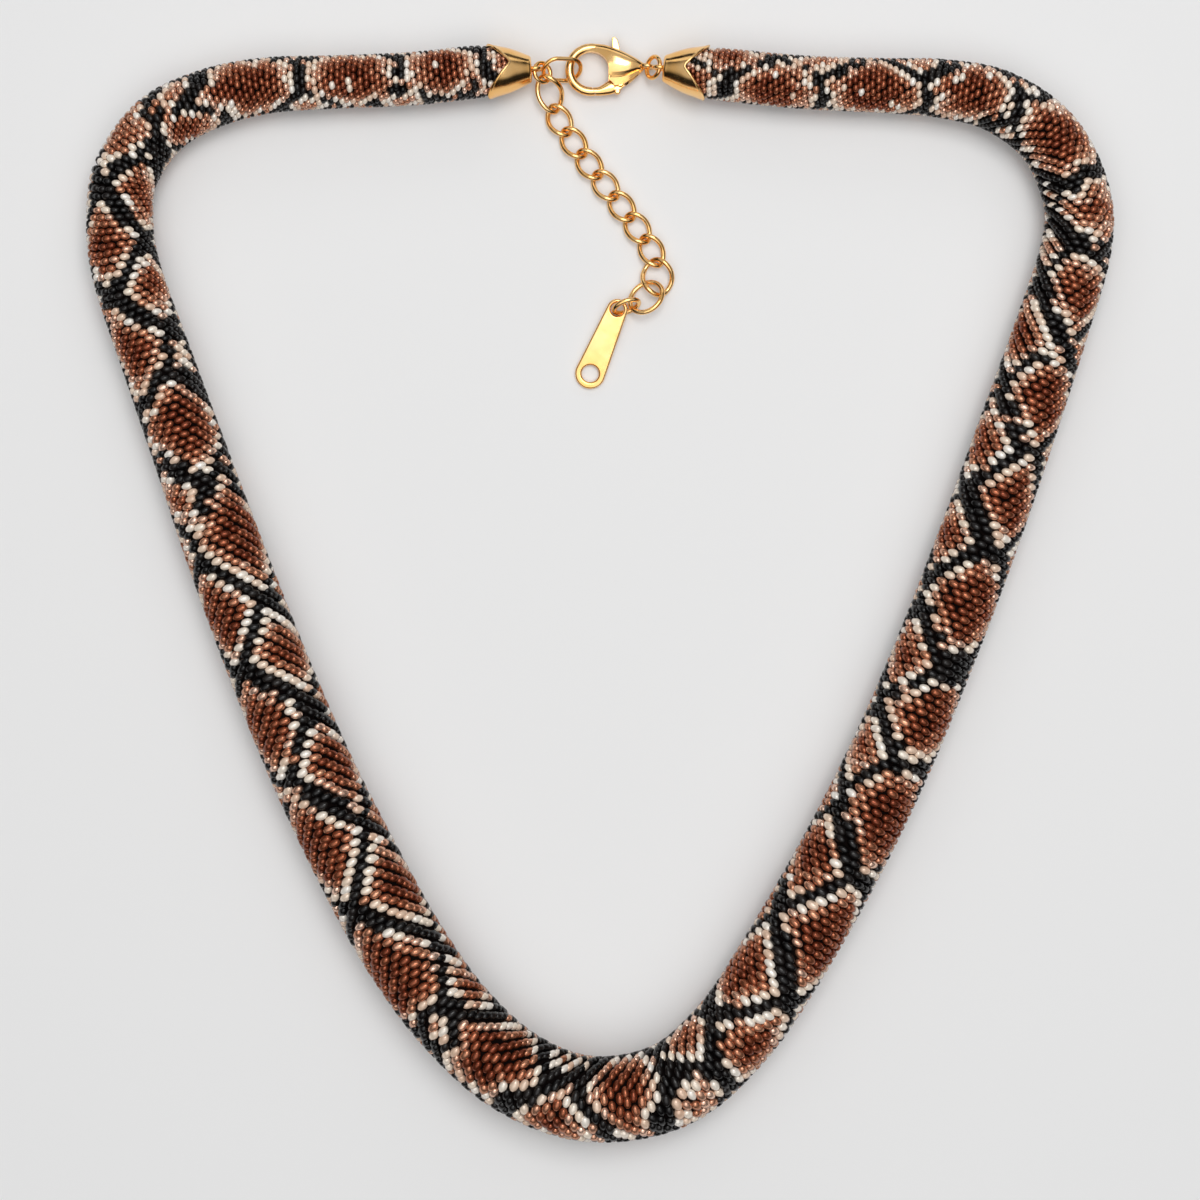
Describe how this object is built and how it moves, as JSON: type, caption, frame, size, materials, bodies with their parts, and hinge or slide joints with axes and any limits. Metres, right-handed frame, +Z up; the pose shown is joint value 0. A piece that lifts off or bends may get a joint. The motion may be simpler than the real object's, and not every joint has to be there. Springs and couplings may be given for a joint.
{
  "type": "beaded rope necklace",
  "caption": "Fat beaded rope necklace with a snake-skin diamond pattern, gold end caps, lobster clasp and extender chain with a flat tag.",
  "frame": {"origin": "middle of the outline, on the table that the necklace lies on", "axes": "+Z up from the table, +Y towards the clasp at the nape, +X to the right"},
  "size_m": [0.1541, 0.1662, 0.0132],
  "materials": {
    "beads": "glossy seed beads in copper brown, black and cream",
    "gold": "polished gold plate"
  },
  "bodies": {
    "necklace": {"bead_rope": "beads", "cap_left": "gold", "cap_right": "gold", "nape_ring": "gold", "hook_link": "gold", "clasp_body": "gold", "clasp_pin": "gold", "tail_ring": "gold", "chain_link_1": "gold", "chain_link_2": "gold", "chain_link_3": "gold", "chain_link_4": "gold", "chain_link_5": "gold", "chain_link_6": "gold", "chain_link_7": "gold", "chain_link_8": "gold", "round_link": "gold", "end_ring": "gold", "tag_link": "gold", "tag": "gold"},
    "lever": {"clasp_lever": "gold"}
  },
  "joints": [
    {"name": "lever_pivot", "type": "hinge", "parent": "necklace", "child": "lever", "pos_m": [0.00315, 0.07615, 0.0016], "axis": [0, 0, -1], "range_deg": [0, 25], "stiffness_Nm_per_rad": 0.002, "springref_deg": -11.46}
  ]
}
